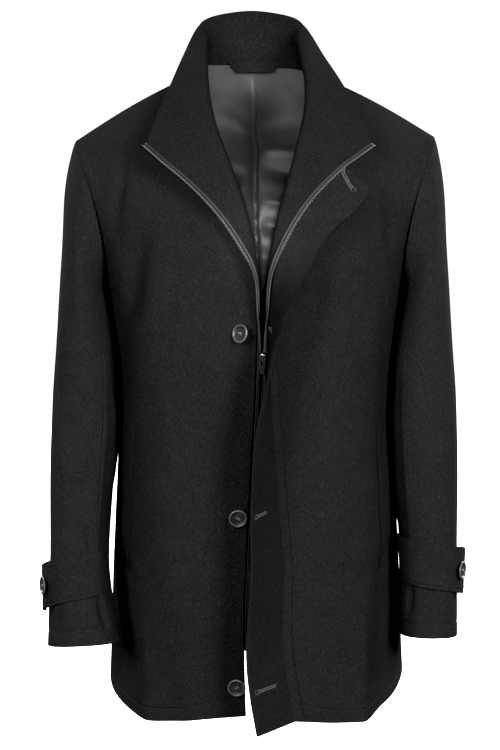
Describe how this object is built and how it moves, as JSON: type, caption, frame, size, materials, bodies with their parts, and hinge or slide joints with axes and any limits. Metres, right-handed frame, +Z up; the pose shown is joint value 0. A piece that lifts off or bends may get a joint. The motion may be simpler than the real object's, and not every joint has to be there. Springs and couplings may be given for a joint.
{
  "type": "car coat",
  "caption": "Charcoal wool car coat with no wearer, hollow, open at neck, hem and cuffs; folded collar, zip front under a standing button placket, buttoned sleeve straps.",
  "frame": {"origin": "the middle of the neck, level with the two neck points where the coat hangs on the wearer's shoulders", "axes": "+Z up, the coat's front faces -Y, the wearer's left side is +X"},
  "size_m": [0.5851, 0.3722, 0.9528],
  "materials": {
    "wool": "matte charcoal wool with a short nap and fine lighter flecks",
    "lining": "mid-grey satin lining",
    "zip_tape": "grey woven tape with dark moulded teeth",
    "zip_metal": "dark nickel zip slider and pull tab",
    "buttons": "black resin with a polished rim"
  },
  "bodies": {
    "coat": {"back": "wool", "front_right": "wool", "front_left": "wool", "facing_right": "wool", "facing_left": "wool", "collar": "wool", "neck_tab": "wool", "placket": "wool", "welt_right": "wool", "welt_left": "wool", "sleeve_right_top": "wool", "sleeve_right_under": "wool", "sleeve_left_top": "wool", "sleeve_left_under": "wool", "strap_right": "wool", "strap_left": "wool", "lining_back": "lining", "lining_cuff_right": "lining", "lining_cuff_left": "lining", "zip_right": "zip_tape", "zip_left": "zip_tape", "slider_upper": "zip_metal", "slider_lower": "zip_metal", "button_1": "buttons", "button_2": "buttons", "button_3": "buttons", "button_4": "buttons", "strap_button_right": "buttons", "strap_button_left": "buttons"},
    "upper_pull": {"pull_upper": "zip_metal"},
    "lower_pull": {"pull_lower": "zip_metal"}
  },
  "joints": [
    {"name": "upper_pull_swing", "type": "hinge", "parent": "coat", "child": "upper_pull", "pos_m": [0.00958, -0.15368, -0.3431], "axis": [-1, 0, 0], "range_deg": [0, 110]},
    {"name": "lower_pull_swing", "type": "hinge", "parent": "coat", "child": "lower_pull", "pos_m": [-0.007, -0.15552, -0.7167], "axis": [-1, 0, 0], "range_deg": [0, 60]}
  ]
}
